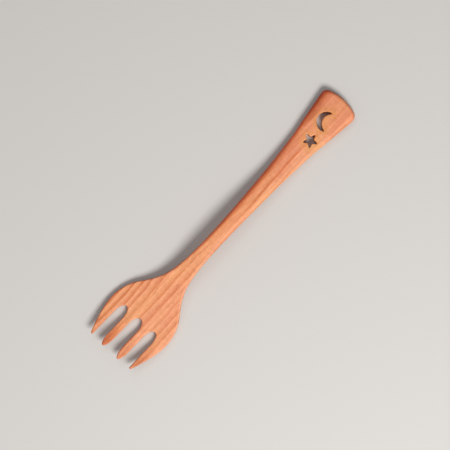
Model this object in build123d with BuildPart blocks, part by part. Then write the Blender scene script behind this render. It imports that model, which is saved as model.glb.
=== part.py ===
from build123d import *
import math
import os

# Wooden serving fork, carved from one board of cherry.
# Frame: +Y runs from the tine tips to the end of the handle, +X is across, +Z is up.
# The origin is under the middle of the fork, on the surface that it rests on. The belly
# of the head and the flat back of the handle end both touch that surface.

# Overall size, mm
length = 305.0
head_width = 65.5
end_width = 37.8
tip_y = -length / 2
back_y = length / 2

# Half width of the outline at chosen places between the tines and the handle end
outline = [
    (27.9, -140.3),
    (head_width / 2, -115.5),
    (27.6, -94.0),
    (18.65, -81.0),
    (12.0, -68.0),
    (8.05, -48.0),
    (6.95, -20.0),
    (7.8, 22.0),
    (9.55, 60.0),
    (12.6, 100.0),
]

# Two slim inner tines with oval points, between two curved outer tines
slot_bottom_y = -113.0
slot_bottom_depth = 10.0
centre_slot_width = 10.5
outer_slot_width = 9.4
outer_slot_x = 17.2
inner_tine_x = 8.875
inner_tine_width = 7.25
inner_point_depth = 10.6
outer_point_y = -151.6
outer_point_radius = 1.1
outer_point_lean = 27.0

# End of the handle: a shallow arc with round corners
end_arc_radius = 46.5
end_corner_radius = 6.4
end_flare = 7.5

# Side view: (y, height of the underside, thickness of the wood)
tine_profile = [(tip_y, 8.5, 3.0), (-130.0, 2.9, 4.6)]
belly = (-108.0, 0.0, 5.6)
arch_profile = [
    (-80.0, 1.7, 7.5),
    (-55.0, 5.2, 9.5),
    (-20.0, 8.5, 11.0),
    (30.0, 5.6, 11.0),
    (68.0, 1.1, 10.7),
]
flat_start = (90.0, 0.0, 10.35)
end_thickness = 10.0
tine_slope = -0.3

# Rounding of the long edges: narrow on the head and tines, broad on the handle. It grows
# along the neck, which is lofted through a few sections.
head_round = 1.0
handle_round = 4.0
neck_front_y = -48.0
neck_back_y = -6.0
neck_spans = 6

# Crescent cut through the handle end: a disc less a second disc beside it
crescent_centre = (1.9, 127.2)
crescent_radius = 8.85
bite_radius = 8.7
bite_shift = 4.7
bite_angle = 17.5
horn_radius = 0.2

# Regular five-pointed star cut through the handle before the crescent, one point along +Y
star_centre = (2.3, 105.3)
star_radius = 7.7
star_points = 5
star_point_radius = 0.4
star_inner_round = 0.7
pierced_edge_round = 0.25

# Stock that the outline and the side view are cut from
stock_bottom = -20.0
stock_height = 60.0
stock_width = 100.0

# An edge that reaches less than this along Y is a seam or a straight cut across
least_reach = 0.1


def heading(degrees):
    """Direction that leans this much from +Y towards +X."""
    return (math.sin(math.radians(degrees)), math.cos(math.radians(degrees)))


def underside(station):
    return (station[0], station[1])


def top_side(station):
    return (station[0], station[1] + station[2])


def long_edges(part):
    """Edges that follow the outline, without upright seams and straight cuts across."""
    return part.edges().filter_by(lambda edge: edge.bounding_box().size.Y > least_reach)


def rim_edges(edges):
    """Edges of a piercing that lie in the faces of the wood, without upright ones."""
    return edges.filter_by(lambda edge: edge.bounding_box().size.Z < end_thickness / 2)


# Outline seen from above
outer_wall_x = outer_slot_x + outer_slot_width / 2
point_centre = (outer_wall_x + outer_point_radius, outer_point_y + outer_point_radius)
arc_centre_y = back_y - end_arc_radius
corner_x = end_width / 2 - end_corner_radius
corner_rise = math.sqrt((end_arc_radius - end_corner_radius) ** 2 - corner_x**2)
corner_centre = (corner_x, arc_centre_y + corner_rise)
corner_angle = math.degrees(math.atan2(corner_rise, corner_x))

with BuildSketch() as plan:
    with BuildLine():
        point = CenterArc(point_centre, outer_point_radius, 180, 180 - outer_point_lean)
        corner = CenterArc(corner_centre, end_corner_radius, -end_flare, corner_angle + end_flare)
        end_arc = CenterArc((0, arc_centre_y), end_arc_radius, corner_angle, 90 - corner_angle)
        Spline(
            point @ 1,
            *outline,
            corner @ 0,
            tangents=[heading(outer_point_lean), heading(end_flare)],
        )
        Polyline(end_arc @ 1, (0, tip_y), (outer_wall_x, tip_y), point @ 0)
    make_face()
    mirror(about=Plane.YZ)
    # Slots with oval bottoms
    slot_centre_y = slot_bottom_y - slot_bottom_depth
    for slot_x, slot_width in (
        (-outer_slot_x, outer_slot_width),
        (0, centre_slot_width),
        (outer_slot_x, outer_slot_width),
    ):
        with Locations((slot_x, slot_centre_y)):
            Ellipse(slot_width / 2, slot_bottom_depth, mode=Mode.SUBTRACT)
            Rectangle(
                slot_width,
                slot_centre_y - tip_y,
                align=(Align.CENTER, Align.MAX),
                mode=Mode.SUBTRACT,
            )
    # Inner tines cut back square, then given their oval points
    point_base_y = tip_y + inner_point_depth
    with Locations((0, tip_y)):
        Rectangle(
            2 * outer_wall_x,
            inner_point_depth,
            align=(Align.CENTER, Align.MIN),
            mode=Mode.SUBTRACT,
        )
    with Locations((-inner_tine_x, point_base_y), (inner_tine_x, point_base_y)):
        Ellipse(inner_tine_width / 2, inner_point_depth)

# Side view: a shallow S with a straight, flat back under the handle end
with BuildSketch(Plane.YZ.offset(-stock_width / 2)) as side_view:
    with BuildLine():
        Spline(
            *[underside(station) for station in tine_profile],
            underside(belly),
            tangents=[(1, tine_slope), (1, 0)],
        )
        Spline(
            underside(belly),
            *[underside(station) for station in arch_profile],
            underside(flat_start),
            tangents=[(1, 0), (1, 0)],
        )
        Polyline(underside(flat_start), (back_y, 0), (back_y, end_thickness))
        upper_stations = [*tine_profile, belly, *arch_profile, flat_start]
        upper = Spline(*[top_side(station) for station in upper_stations], (back_y, end_thickness))
        Line(upper @ 0, underside(tine_profile[0]))
    make_face()

# The board sawn to both views, with square edges
with BuildPart() as blank:
    with BuildSketch(Plane.XY.offset(stock_bottom)):
        add(plan.sketch)
    extrude(amount=stock_height)
    extrude(side_view.sketch, amount=stock_width, mode=Mode.INTERSECT)

with BuildPart() as head:
    add(blank.part)
    split(bisect_by=Plane.XZ.offset(-neck_front_y), keep=Keep.TOP)
    fillet(long_edges(head.part), head_round)

with BuildPart() as handle:
    add(blank.part)
    split(bisect_by=Plane.XZ.offset(-neck_back_y), keep=Keep.BOTTOM)
    fillet(long_edges(handle.part), handle_round)

# Neck: sections of the blank whose corners grow from one rounding to the other
neck_sections = [head.faces().sort_by(Axis.Y)[-1]]
for span in range(1, neck_spans):
    share = span / neck_spans
    plane = Plane.XZ.offset(-(neck_front_y + (neck_back_y - neck_front_y) * share))
    sawn = (plane * Rectangle(stock_width, stock_height * 2) & blank.part).bounding_box()
    smooth_share = share**2 * (3 - 2 * share)
    with BuildSketch(plane) as neck_section:
        with Locations((0, sawn.center().Z)):
            RectangleRounded(
                sawn.size.X,
                sawn.size.Z,
                head_round + (handle_round - head_round) * smooth_share,
            )
    neck_sections.append(neck_section.sketch.face())
neck_sections.append(handle.faces().sort_by(Axis.Y)[0])

with BuildPart() as neck:
    loft(sections=neck_sections)

# Crescent
with BuildSketch(Plane((*crescent_centre, stock_bottom))) as crescent:
    Circle(crescent_radius)
    with PolarLocations(bite_shift, 1, start_angle=bite_angle):
        Circle(bite_radius, mode=Mode.SUBTRACT)
    fillet(crescent.vertices(), horn_radius)

# Star: its inner corners lie on the lines that join its points
inner_corner_reach = star_radius * math.cos(math.tau / star_points) / math.cos(math.pi / star_points)
star_corners = []
for count in range(2 * star_points):
    reach = star_radius if count % 2 == 0 else inner_corner_reach
    turn = count * math.pi / star_points
    star_corners.append((-reach * math.sin(turn), reach * math.cos(turn)))

with BuildSketch(Plane((*star_centre, stock_bottom))) as star:
    with BuildLine():
        Polyline(*star_corners, close=True)
    make_face()
    inner_corners = star.vertices().sort_by_distance((0, 0, 0))[:star_points]
    fillet(inner_corners, star_inner_round)
    point_corners = star.vertices().sort_by_distance((0, 0, 0))[-star_points:]
    fillet(point_corners, star_point_radius)

with BuildPart() as carved_fork:
    add(head.part)
    add(neck.part)
    add(handle.part)
    for piercing in (crescent, star):
        extrude(piercing.sketch, amount=stock_height, mode=Mode.SUBTRACT)
        fillet(rim_edges(carved_fork.edges(Select.LAST)), pierced_edge_round)

carved_fork.part.label = "carved_fork"
os.makedirs("parts", exist_ok=True)
export_step(carved_fork.part, "parts/carved_fork.step")
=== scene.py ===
import math

import bpy
import numpy as np
from mathutils import Matrix, Vector, kdtree, noise


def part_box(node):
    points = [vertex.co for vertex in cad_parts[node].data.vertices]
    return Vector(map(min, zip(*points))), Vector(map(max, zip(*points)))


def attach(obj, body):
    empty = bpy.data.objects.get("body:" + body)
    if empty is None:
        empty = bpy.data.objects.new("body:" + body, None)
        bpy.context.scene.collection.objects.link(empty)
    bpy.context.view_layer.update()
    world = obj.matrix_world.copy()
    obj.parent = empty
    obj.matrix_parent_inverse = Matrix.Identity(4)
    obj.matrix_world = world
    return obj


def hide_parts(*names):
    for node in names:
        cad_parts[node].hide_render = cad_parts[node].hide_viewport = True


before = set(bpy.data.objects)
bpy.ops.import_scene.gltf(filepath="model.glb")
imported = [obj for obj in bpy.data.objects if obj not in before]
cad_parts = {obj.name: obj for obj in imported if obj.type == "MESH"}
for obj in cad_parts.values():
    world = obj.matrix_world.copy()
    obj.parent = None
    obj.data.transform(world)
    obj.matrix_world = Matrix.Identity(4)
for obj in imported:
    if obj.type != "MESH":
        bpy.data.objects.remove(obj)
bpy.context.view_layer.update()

# A carved cherry serving fork. +Y runs from the tine tips to the end of the handle, +X is
# across, +Z is up. Lengths are in metres, or in millimetres where a name or comment says so.
MM = 0.001
low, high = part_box("carved_fork")
middle = (low + high) / 2


# Places of the colour sockets of the Mix node
MIX_A, MIX_B, MIX_RESULT = 6, 7, 2


class Graph:
    """Short calls that add one shader node each and give back its output."""

    def __init__(self, tree):
        self.tree = tree

    def node(self, kind, **settings):
        made = self.tree.nodes.new(kind)
        for name, value in settings.items():
            setattr(made, name, value)
        return made

    def plug(self, socket, value):
        if isinstance(value, bpy.types.NodeSocket):
            self.tree.links.new(value, socket)
        else:
            socket.default_value = value

    def math(self, operation, a, b=0.0, c=0.0):
        made = self.node("ShaderNodeMath", operation=operation)
        for socket, value in zip(made.inputs, (a, b, c)):
            self.plug(socket, value)
        return made.outputs[0]

    def split(self, vector):
        made = self.node("ShaderNodeSeparateXYZ")
        self.plug(made.inputs[0], vector)
        return made.outputs

    def join(self, x, y, z):
        made = self.node("ShaderNodeCombineXYZ")
        for socket, value in zip(made.inputs, (x, y, z)):
            self.plug(socket, value)
        return made.outputs[0]

    def stretch(self, vector, scales):
        made = self.node("ShaderNodeVectorMath", operation="MULTIPLY")
        self.plug(made.inputs[0], vector)
        self.plug(made.inputs[1], scales)
        return made.outputs[0]

    def grain(self, mm, across, along, detail, roughness):
        """Noise about 0, within half a unit, with so many patches per mm across and along."""
        made = self.node("ShaderNodeTexNoise", noise_dimensions="3D")
        self.plug(made.inputs["Vector"], self.stretch(mm, (across, along, across)))
        made.inputs["Scale"].default_value = 1.0
        made.inputs["Detail"].default_value = detail
        made.inputs["Roughness"].default_value = roughness
        return self.math("SUBTRACT", made.outputs["Fac"], 0.5)

    def ramp(self, value, stops):
        made = self.node("ShaderNodeValToRGB")
        self.plug(made.inputs[0], value)
        elements = made.color_ramp.elements
        while len(elements) < len(stops):
            elements.new(1.0)
        for element, (position, level) in zip(elements, stops):
            element.position = position
            element.color = (level, level, level, 1)
        return made.outputs[0]

    def mix(self, factor, a, b, blend="MIX"):
        made = self.node("ShaderNodeMix", data_type="RGBA", blend_type=blend)
        self.plug(made.inputs[0], factor)
        self.plug(made.inputs[MIX_A], a)
        self.plug(made.inputs[MIX_B], b)
        return made.outputs[MIX_RESULT]

    def stain(self, colour, factor, tint):
        """The colour multiplied by the tint where the factor is 1."""
        return self.mix(factor, colour, self.mix(1.0, colour, tint, "MULTIPLY"))

    def span(self, value, start, end, before=0.0, after=1.0):
        """Smooth step from one level to another while the value goes from start to end."""
        made = self.node("ShaderNodeMapRange", interpolation_type="SMOOTHSTEP")
        for socket, number in zip(made.inputs, (value, start, end, before, after)):
            self.plug(socket, number)
        return made.outputs[0]

    def total(self, start, *terms):
        """The start plus each term's value times its weight."""
        for value, weight in terms:
            start = self.math("MULTIPLY_ADD", value, weight, start)
        return start

    def attribute(self, name):
        return self.node("ShaderNodeAttribute", attribute_name=name).outputs["Fac"]

    def bump(self, height, distance, strength):
        made = self.node("ShaderNodeBump")
        made.inputs["Strength"].default_value = strength
        made.inputs["Distance"].default_value = distance
        self.plug(made.inputs["Height"], height)
        return made.outputs[0]

    def surface(self, sockets):
        """The Principled shader of the material, with a value for each named socket."""
        shader = self.node("ShaderNodeBsdfPrincipled")
        for name, value in sockets.items():
            self.plug(shader.inputs[name], value)
        output = self.node("ShaderNodeOutputMaterial")
        self.plug(output.inputs["Surface"], shader.outputs[0])


def new_material(name):
    material = bpy.data.materials.new(name)
    material.use_nodes = True
    material.node_tree.nodes.clear()
    return material, Graph(material.node_tree)


# Base colours of the wood
PALE_WOOD = (0.74, 0.328, 0.150, 1)
PINK_WOOD = (0.74, 0.306, 0.160, 1)

# Tints: what each kind of stain, painted shade and painted light multiplies the colour of the wood
# by
LATEWOOD = (0.71, 0.46, 0.28, 1)
GUM = (0.91, 0.75, 0.62, 1)
FAINT_RED = (0.97, 0.88, 0.83, 1)
# painted shade: the handle and its end, the -X side, the band along that side and its corner, and
# the tips of the tines
PAINTED_SHADE_HANDLE = (0.98, 0.925, 0.93, 1)
PAINTED_SHADE_HANDLE_END = (0.93, 0.86, 0.84, 1)
PAINTED_SHADE_SIDE = (0.92, 0.48, 0.30, 1)
PAINTED_SHADE_EDGE_BAND = (0.92, 0.70, 0.55, 1)
PAINTED_SHADE_CORNER = (0.70, 0.51, 0.35, 1)
PAINTED_SHADE_TINE = (0.86, 0.76, 0.68, 1)
PAINTED_SHADE_TIP = (0.88, 0.68, 0.56, 1)
# end grain that drinks more oil, with painted shade on the faces turned along the fork
END_GRAIN_AND_PAINTED_SHADE = (0.66, 0.49, 0.40, 1)
# painted light along the +X side of the handle
PAINTED_LIGHT_EDGE_BAND = (1.05, 1.18, 1.18, 1)
PIERCING_HALO = (0.93, 0.985, 0.70, 1)
RUBBED = (1.02, 1.03, 1.04, 1)

# Grain: patches per mm across the fork, the same along it, detail, roughness
PATCH = (0.075, 0.016, 1.0, 0.5)
STREAK = (0.62, 0.020, 3.0, 0.6)
FIBRE = (2.2, 0.075, 3.0, 0.65)
PORE = (6.5, 0.45, 1.0, 0.5)
RIPPLE = (0.20, 0.36, 3.0, 0.7)
SLOW_WANDER = (0.05, 0.016, 1.0, 0.5)
QUICK_WANDER = (0.30, 0.060, 2.0, 0.5)

# Growth rings: where the dark line of each one crosses the head, mm of X, and how dark it is.
# The last one lies past the +X side, and only the wood that darkens towards it shows.
RINGS = (
    (-30.5, 0.80),
    (-25.1, 1.00),
    (-19.7, 0.90),
    (-15.2, 0.85),
    (-8.6, 0.80),
    (-7.1, 0.75),
    (-0.7, 0.85),
    (6.2, 0.75),
    (10.0, 0.40),
    (14.3, 0.60),
    (20.9, 0.66),
    (26.4, 0.80),
    (36.0, 0.50),
)
# Coloured lines that follow the rings, placed in the same way
GUM_LINE = -0.7
RED_LINE = -6.9

# The pattern of rings reaches this far to each side, and past its dark line each ring fades to
# the level of the earlywood. The power makes the dark lines narrower.
BOARD_HALF = 42.0
RING_FADE = 1.3
EARLYWOOD_LEVEL = 0.10
RING_POWER = 1.6

# How far the two kinds of wander move the rings, mm
SLOW_WANDER_MM = 2.2
QUICK_WANDER_MM = 1.1

# A span is (start, end, level before, level after), and without levels it opens from 0 to 1.
# Along X and Y it is in mm. The rings lean on the -X side, so that they arch where the face of
# the fork dips, and they drift sideways along the handle.
LEAN_OVER_X = (-18.0, 2.0, 0.42, 0.04)
LEVEL_Z = 5.6
DRIFTS_OVER_Y = ((-40.0, 10.0, 0.0, -4.4), (20.0, 60.0, 0.0, 1.2), (88.0, 128.0, 0.0, -3.2))

# How strongly the rings show
CONTRAST_OVER_Y = (-60.0, 0.0, 0.95, 0.57)
END_CONTRAST_OVER_Y = (90.0, 110.0, 1.0, 0.65)
CONTRAST_OVER_X = (-26.0, -8.0, 1.2, 1.0)
PATCH_CONTRAST = 0.9
PATCH_TINT = (-0.22, 0.22)

# How much each kind of grain lightens the wood, and how much faster green and blue fall
PORE_SPAN = (0.14, 0.24)
STREAK_SHADE = 0.50
FIBRE_SHADE = 0.34
RIPPLE_SHADE = 0.38
PORE_SHADE = -0.22
GREEN_POWER = 1.35
BLUE_POWER = 1.6

# How far the grain moves the bounds of a stain, mm
PATCH_BOUND = 3.0
STREAK_BOUND = 4.5
TINE_BOUND = 16.0

# How far the band of painted shade beside the -X edge and the band of painted light beside the +X
# edge reach inwards, along Y
DARK_BAND_OVER_Y = (-50.0, 20.0, 1.4, 8.0)
DARK_BAND_AT_END = (95.0, 135.0, 0.0, 3.0)
PALE_BAND_OVER_Y = (60.0, 96.0, 6.5, 12.5)

# Stains, painted shade and painted light: a tint, and the spans that all have to be open where
# it shows. Each span names the field that it is measured in, and wood_fields works the fields out.
STAINS = (
    # a gum line runs along the handle and stops short of the star, with a fainter red one
    # beside it, nearer the -X side
    (
        GUM,
        ("from_gum_line", 0.3, 1.9, 1.0, 0.0),
        ("y", -10.0, 40.0),
        ("y", 88.0, 94.0, 1.0, 0.15),
    ),
    (
        FAINT_RED,
        ("from_red_line", 0.4, 2.2, 1.0, 0.0),
        ("y", 0.0, 30.0),
        ("y", 96.0, 106.0, 1.0, 0.0),
    ),
    # painted shade darkens the handle, most of all its end, which turns away from the key light
    (PAINTED_SHADE_HANDLE, ("y", -70.0, -15.0)),
    (PAINTED_SHADE_HANDLE_END, ("y", 105.0, 140.0)),
    # painted shade darkens the -X side, which faces away from the key light, a band along it, and
    # the corner of the handle end
    (PAINTED_SHADE_SIDE, ("facing_x", -0.95, -0.15, 1.0, 0.0), ("y", -70.0, 20.0, 0.5, 1.0)),
    (PAINTED_SHADE_EDGE_BAND, ("dark_band_share", 0.15, 1.0, 1.0, 0.0)),
    (PAINTED_SHADE_CORNER, ("from_dark_edge", 3.5, 8.5, 1.0, 0.0), ("y", 95.0, 135.0)),
    # painted shade darkens the tips of the tines too, where they curl up away from the key light,
    # the outer +X one twice and the inner -X one most
    (PAINTED_SHADE_TINE, ("along_tine", -150.0, -124.0, 1.0, 0.0), ("x", -26.0, -18.0, 0.3, 1.0)),
    (PAINTED_SHADE_TINE, ("along_tine", -146.0, -118.0, 1.0, 0.0), ("x", 18.0, 24.0)),
    (
        PAINTED_SHADE_TIP,
        ("along_tine", -139.0, -118.0, 1.0, 0.0),
        ("x", -14.0, -11.0),
        ("x", -7.0, -4.0, 1.0, 0.0),
    ),
    # end grain drinks more oil, and painted shade adds to it on the faces that turn towards either
    # end of the fork
    (END_GRAIN_AND_PAINTED_SHADE, ("facing_along", 0.35, 1.0, 0.0, 0.8)),
    # painted light makes a paler band along the +X side of the handle, which faces the key light
    (
        PAINTED_LIGHT_EDGE_BAND,
        ("pale_band_share", 0.33, 1.0, 1.0, 0.0),
        ("y", 0.0, 45.0),
        ("y", 108.0, 124.0, 1.0, 0.0),
    ),
)

# How much of an edge is rubbed smooth, before the ripple breaks it up
WORN_SHARE = 0.7

# Relief and roughness: what each kind of grain adds
LATE_RELIEF = 0.4
PORE_RELIEF = -0.7
RELIEF_HEIGHT = 0.05 * MM
RELIEF_STRENGTH = 0.6
ROUGHNESS = 0.50
LATE_ROUGHNESS = -0.07
STREAK_ROUGHNESS = 0.14
PORE_ROUGHNESS = 0.15
WORN_ROUGHNESS = -0.08
WOOD_IOR = 1.5
WOOD_SPECULAR = 0.4


def growth_rings(g, mm):
    """Darkness of the growth rings, and the place across them, from -X to +X."""
    x, y, z = g.split(mm)
    height = g.math("SUBTRACT", z, LEVEL_Z)
    across = g.math("MULTIPLY_ADD", height, g.span(x, *LEAN_OVER_X), x)
    for drift in DRIFTS_OVER_Y:
        across = g.math("ADD", across, g.span(y, *drift))
    slow = g.grain(mm, *SLOW_WANDER)
    quick = g.grain(mm, *QUICK_WANDER)
    across = g.total(across, (slow, SLOW_WANDER_MM), (quick, QUICK_WANDER_MM))
    stops = [(0.0, 0.0)]
    for place, darkness in RINGS:
        share = (place + BOARD_HALF) / (2 * BOARD_HALF)
        stops.append((share, darkness ** (1 / RING_POWER)))
        stops.append((share + RING_FADE / (2 * BOARD_HALF), EARLYWOOD_LEVEL))
    share_across = g.math("MULTIPLY_ADD", across, 0.5 / BOARD_HALF, 0.5)
    return g.math("POWER", g.ramp(share_across, stops), RING_POWER), across


def wood_fields(g, mm, across, patch, streak):
    """What the spans of the stains are measured in.

    Places and distances are in mm, moved a little by the grain so that a stain has a soft and
    streaky bound. The facing fields are parts of the normal, and a band's share is 1 where the
    band ends.
    """
    x, y, _ = g.split(mm)
    facing = g.split(g.node("ShaderNodeNewGeometry").outputs["Normal"])
    from_dark_edge = g.total(
        g.attribute("from_dark_edge"), (patch, PATCH_BOUND), (streak, STREAK_BOUND)
    )
    from_pale_edge = g.total(g.attribute("from_pale_edge"), (patch, PATCH_BOUND))
    dark_reach = g.math("ADD", g.span(y, *DARK_BAND_OVER_Y), g.span(y, *DARK_BAND_AT_END))
    return {
        "x": x,
        "y": y,
        "facing_x": facing[0],
        "facing_along": g.math("ABSOLUTE", facing[1]),
        "from_gum_line": g.math("ABSOLUTE", g.math("SUBTRACT", across, GUM_LINE)),
        "from_red_line": g.math("ABSOLUTE", g.math("SUBTRACT", across, RED_LINE)),
        "from_dark_edge": from_dark_edge,
        "dark_band_share": g.math("DIVIDE", from_dark_edge, dark_reach),
        "pale_band_share": g.math("DIVIDE", from_pale_edge, g.span(y, *PALE_BAND_OVER_Y)),
        "along_tine": g.total(y, (streak, TINE_BOUND)),
    }


def wood_material():
    material, g = new_material("oiled_cherry")
    place = g.node("ShaderNodeTexCoord").outputs["Object"]
    mm = g.stretch(place, (1 / MM, 1 / MM, 1 / MM))
    late, across = growth_rings(g, mm)
    patch = g.grain(mm, *PATCH)
    streak = g.grain(mm, *STREAK)
    fibre = g.grain(mm, *FIBRE)
    ripple = g.grain(mm, *RIPPLE)
    pores = g.span(g.grain(mm, *PORE), *PORE_SPAN)
    fields = wood_fields(g, mm, across, patch, streak)

    contrast = g.total(g.span(fields["y"], *CONTRAST_OVER_Y), (patch, PATCH_CONTRAST))
    contrast = g.math("MULTIPLY", contrast, g.span(fields["y"], *END_CONTRAST_OVER_Y))
    contrast = g.math("MULTIPLY", contrast, g.span(fields["x"], *CONTRAST_OVER_X))
    colour = g.mix(g.span(patch, *PATCH_TINT), PALE_WOOD, PINK_WOOD)
    colour = g.stain(colour, g.math("MULTIPLY", late, contrast), LATEWOOD)

    shade = g.total(
        1.0,
        (streak, STREAK_SHADE),
        (fibre, FIBRE_SHADE),
        (ripple, RIPPLE_SHADE),
        (pores, PORE_SHADE),
    )
    green = g.math("POWER", shade, GREEN_POWER)
    blue = g.math("POWER", shade, BLUE_POWER)
    colour = g.mix(1.0, colour, g.join(shade, green, blue), "MULTIPLY")

    # real stains, and the painted shade and painted light listed with them
    for tint, *spans in STAINS:
        factor = 1.0
        for field, *numbers in spans:
            factor = g.math("MULTIPLY", g.span(fields[field], *numbers), factor)
        colour = g.stain(colour, factor, tint)
    colour = g.stain(colour, g.attribute("near_piercing"), PIERCING_HALO)
    worn = g.math("MULTIPLY", g.attribute("edge"), g.math("ADD", ripple, WORN_SHARE))
    colour = g.stain(colour, worn, RUBBED)

    relief = g.total(fibre, (late, LATE_RELIEF), (pores, PORE_RELIEF))
    roughness = g.total(
        ROUGHNESS,
        (late, LATE_ROUGHNESS),
        (streak, STREAK_ROUGHNESS),
        (pores, PORE_ROUGHNESS),
        (worn, WORN_ROUGHNESS),
    )
    g.surface(
        {
            "Base Color": colour,
            "Roughness": roughness,
            "Normal": g.bump(relief, RELIEF_HEIGHT, RELIEF_STRENGTH),
            "IOR": WOOD_IOR,
            "Specular IOR Level": WOOD_SPECULAR,
        }
    )
    return material


# Shape of the visible mesh. Lengths are in mm, and a pair is where a smooth step starts and
# ends. The whole mesh is softened a little, and the neck and handle more.
VOXEL = 0.52
SHARP_EDGE_ROUNDS = 4
SANDING_ROUNDS = 24
SMOOTHING_STRENGTH = 0.5
SANDING_STARTS = (-75.0, -45.0)
SANDING_STOPS = (88.0, 94.0)
CROWN = 0.35
CROWN_POWER = 3
CROWN_STARTS = (-20.0, 40.0)
CROWN_FACING = (0.0, 0.6)

# The neck bows sideways by this much per mm2 of Y, and stays in place at BOW_STILL_Y
NECK_BOW = 5.3e-5
BOW_STILL_Y = 115.5

# Hand sanding leaves broad and small waves: height, waves per mm in X, Y and Z, shift of Z
WAVES = ((0.14, (0.06, 0.035, 0.06), 0.0), (0.05, (0.16, 0.10, 0.16), 9.0))
WAVES_SINK = 0.06

# The wall of a piercing is found round its centre, and a halo spreads from it on flat faces
STAR_CENTRE = (2.3, 105.3)
CRESCENT_CENTRE = (1.9, 127.2)
PIERCING_REACH = 11.0
PIERCED_END_Y = STAR_CENTRE[1] - 2 * PIERCING_REACH
WALL_FACING = 0.5
HALO_REACH = 7.5
HALO_FACING = (0.3, 0.9)

# An edge counts as sharp where smoothing would move it this far
BEND_ROUNDS = 6
BEND_OF_EDGE = (0.02, 0.10)
EDGE_BLUR_ROUNDS = 3


def smooth_step(values, start, end):
    share = np.clip((values - start) / (end - start), 0.0, 1.0)
    return share * share * (3 - 2 * share)


def get_points(mesh):
    points = np.empty(len(mesh.vertices) * 3)
    mesh.vertices.foreach_get("co", points)
    return points.reshape(-1, 3) / MM


def set_points(mesh, points):
    mesh.vertices.foreach_set("co", (points * MM).ravel())
    mesh.update()


def get_normals(mesh):
    normals = np.empty(len(mesh.vertices) * 3)
    mesh.vertex_normals.foreach_get("vector", normals)
    return normals.reshape(-1, 3)


def smoothed(mesh, values, rounds, strength=SMOOTHING_STRENGTH):
    """Columns of values, moved again and again towards the mean of the vertices beside them."""
    pairs = np.empty(len(mesh.edges) * 2, dtype=np.int64)
    mesh.edges.foreach_get("vertices", pairs)
    a, b = pairs.reshape(-1, 2).T
    count = np.bincount(pairs, minlength=len(values))
    values = values.copy()
    for _ in range(rounds):
        for column in values.T:
            total = np.bincount(a, column[b], len(count)) + np.bincount(b, column[a], len(count))
            column += strength * (total / count - column)
    return values


def remeshed_copy(node, name):
    """A new object with the node's shape in small even quads, its edges softly sanded."""
    piece = bpy.data.objects.new(name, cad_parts[node].data.copy())
    bpy.context.scene.collection.objects.link(piece)
    piece.data.materials.clear()
    even = piece.modifiers.new("even", "REMESH")
    even.mode = "VOXEL"
    even.voxel_size = VOXEL * MM
    sanded = piece.modifiers.new("sanded", "SMOOTH")
    sanded.factor = SMOOTHING_STRENGTH
    sanded.iterations = SHARP_EDGE_ROUNDS
    bpy.context.view_layer.update()
    ready = piece.evaluated_get(bpy.context.evaluated_depsgraph_get())
    mesh = bpy.data.meshes.new_from_object(ready)
    piece.modifiers.clear()
    piece.data = mesh
    return piece


def neck_bow(points):
    """How far the fork bows towards +X where each point is."""
    return NECK_BOW * (BOW_STILL_Y**2 - points[:, 1] ** 2)


def half_widths(points):
    """Half the width of the fork where each point is, in steps of 1 mm of Y."""
    station = np.round(points[:, 1]).astype(int)
    station -= station.min()
    half_width = np.zeros(station.max() + 1)
    np.maximum.at(half_width, station, np.abs(points[:, 0]))
    return half_width[station]


def waves(x, y, z):
    return sum(
        height * noise.noise((x * across, y * along, z * upward + shift))
        for height, (across, along, upward), shift in WAVES
    )


def shape_by_hand(mesh):
    """A slight crown on the handle, uneven hand sanding, and a neck that bows to one side."""
    points = get_points(mesh)
    y = points[:, 1]
    sanding = smooth_step(y, *SANDING_STARTS) * (1 - smooth_step(y, *SANDING_STOPS))
    points = smoothed(mesh, points, SANDING_ROUNDS, SMOOTHING_STRENGTH * sanding)
    normals = get_normals(mesh)
    from_middle = np.abs(points[:, 0]) / half_widths(points)
    crown = CROWN * from_middle**CROWN_POWER * smooth_step(points[:, 1], *CROWN_STARTS)
    points[:, 2] -= crown * smooth_step(normals[:, 2], *CROWN_FACING)
    uneven = np.array([waves(*point) for point in points]) - WAVES_SINK
    points += normals * uneven[:, None]
    points[:, 0] += neck_bow(points)
    set_points(mesh, np.clip(points, np.array(low) / MM, np.array(high) / MM))


def nearness_to_piercing(points, normals):
    """1 on the faces of the wood right beside the star or the crescent, and 0 further away."""
    upright = np.abs(normals[:, 2])
    is_wall = np.zeros(len(points), dtype=bool)
    for centre in (STAR_CENTRE, CRESCENT_CENTRE):
        from_centre = np.hypot(points[:, 0] - centre[0], points[:, 1] - centre[1])
        is_wall |= (from_centre < PIERCING_REACH) & (upright < WALL_FACING)
    walls = points[is_wall]
    tree = kdtree.KDTree(len(walls))
    for index, wall in enumerate(walls):
        tree.insert(wall, index)
    tree.balance()
    at_end = points[:, 1] > PIERCED_END_Y
    distance = np.array([tree.find(point)[2] for point in points[at_end]])
    near = np.zeros(len(points))
    near[at_end] = 1 - smooth_step(distance, 0.0, HALO_REACH)
    return near * smooth_step(upright, *HALO_FACING)


def mark_wear_and_painted_light_bands(mesh):
    """Per-vertex marks that the wood material reads: worn edges, the halo round the piercings, and
    the distances from each edge that bound the bands of painted shade and painted light.
    """
    points = get_points(mesh)
    normals = get_normals(mesh)
    bend = np.einsum("ij,ij->i", points - smoothed(mesh, points, BEND_ROUNDS), normals)
    edge = smoothed(mesh, smooth_step(bend, *BEND_OF_EDGE)[:, None], EDGE_BLUR_ROUNDS)[:, 0]
    straight = points - np.outer(neck_bow(points), (1, 0, 0))
    half_width = half_widths(straight)
    marks = {
        "edge": edge,
        "near_piercing": nearness_to_piercing(points, normals),
        "from_dark_edge": half_width + straight[:, 0],
        "from_pale_edge": half_width - straight[:, 0],
    }
    for name, values in marks.items():
        mark = mesh.attributes.new(name, "FLOAT", "POINT")
        mark.data.foreach_set("value", values.astype(np.float32))


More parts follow.
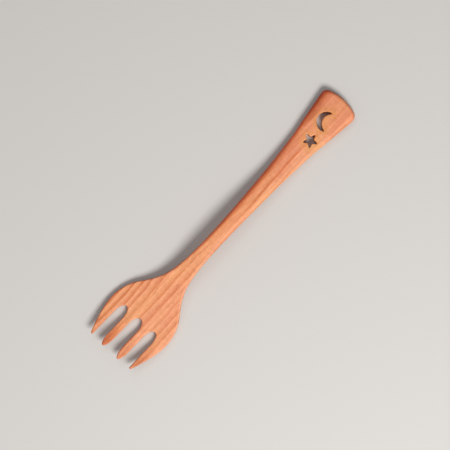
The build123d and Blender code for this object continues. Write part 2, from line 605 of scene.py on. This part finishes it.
def carve_fork():
    piece = remeshed_copy("carved_fork", "carved_cherry_fork")
    shape_by_hand(piece.data)
    mark_wear_and_painted_light_bands(piece.data)
    piece.data.shade_smooth()
    piece.data.materials.append(wood_material())
    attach(piece, "root")
    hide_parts("carved_fork")


# Plain pale floor
FLOOR_HALF = 3.0
FLOOR_COLOUR = (0.54, 0.53, 0.52, 1)
FLOOR_ROUGHNESS = 0.8
FLOOR_SPECULAR = 0.2


def make_floor():
    mesh = bpy.data.meshes.new("floor")
    corners = [(x * FLOOR_HALF, y * FLOOR_HALF, 0) for x, y in ((-1, -1), (1, -1), (1, 1), (-1, 1))]
    mesh.from_pydata(corners, [], [(0, 1, 2, 3)])
    floor = bpy.data.objects.new("floor", mesh)
    bpy.context.scene.collection.objects.link(floor)
    material, g = new_material("pale_floor")
    g.surface(
        {
            "Base Color": FLOOR_COLOUR,
            "Roughness": FLOOR_ROUGHNESS,
            "Specular IOR Level": FLOOR_SPECULAR,
        }
    )
    mesh.materials.append(material)


# Camera straight above the fork, turned so that the handle runs to the upper right
HANDLE_ANGLE = math.radians(47.15)
CAMERA_DISTANCE = 1.5
VIEW_WIDTH = 0.3984
VIEW_CENTRE = Vector((-2.0 * MM, -0.75 * MM, 8 * MM))
SENSOR_WIDTH = 36.0


def make_camera():
    data = bpy.data.cameras.new("camera")
    data.sensor_fit = "HORIZONTAL"
    data.sensor_width = SENSOR_WIDTH
    data.lens = SENSOR_WIDTH * CAMERA_DISTANCE / VIEW_WIDTH
    camera = bpy.data.objects.new("camera", data)
    bpy.context.scene.collection.objects.link(camera)
    right = Vector((math.sin(HANDLE_ANGLE), math.cos(HANDLE_ANGLE), 0))
    up = Vector((-math.cos(HANDLE_ANGLE), math.sin(HANDLE_ANGLE), 0))
    turn = Matrix((right, up, Vector((0, 0, 1)))).transposed().to_4x4()
    place = Matrix.Translation(VIEW_CENTRE + Vector((0, 0, CAMERA_DISTANCE)))
    camera.matrix_world = place @ turn
    bpy.context.scene.camera = camera


# Soft studio light: place, diameter, power and colour of each round lamp
LAMPS = {
    "key": ((0.94, -0.34, 1.38), 0.8, 29.5, (1.0, 0.97, 0.93)),
    "fill": ((-0.9, 0.4, 1.7), 1.4, 6.0, (0.95, 0.97, 1.0)),
}
STUDIO_COLOUR = (1.0, 0.98, 0.96, 1)
STUDIO_STRENGTH = 0.32


def make_light():
    world = bpy.data.worlds.new("studio")
    world.use_nodes = True
    background = world.node_tree.nodes["Background"]
    background.inputs["Color"].default_value = STUDIO_COLOUR
    background.inputs["Strength"].default_value = STUDIO_STRENGTH
    bpy.context.scene.world = world
    for name, (place, diameter, power, colour) in LAMPS.items():
        data = bpy.data.lights.new(name, "AREA")
        data.shape = "DISK"
        data.size = diameter
        data.energy = power
        data.color = colour
        lamp = bpy.data.objects.new(name, data)
        lamp.location = place
        lamp.rotation_euler = (middle - Vector(place)).to_track_quat("-Z", "Y").to_euler()
        bpy.context.scene.collection.objects.link(lamp)


carve_fork()
make_floor()
make_light()
make_camera()
bpy.context.scene.view_settings.view_transform = "Standard"
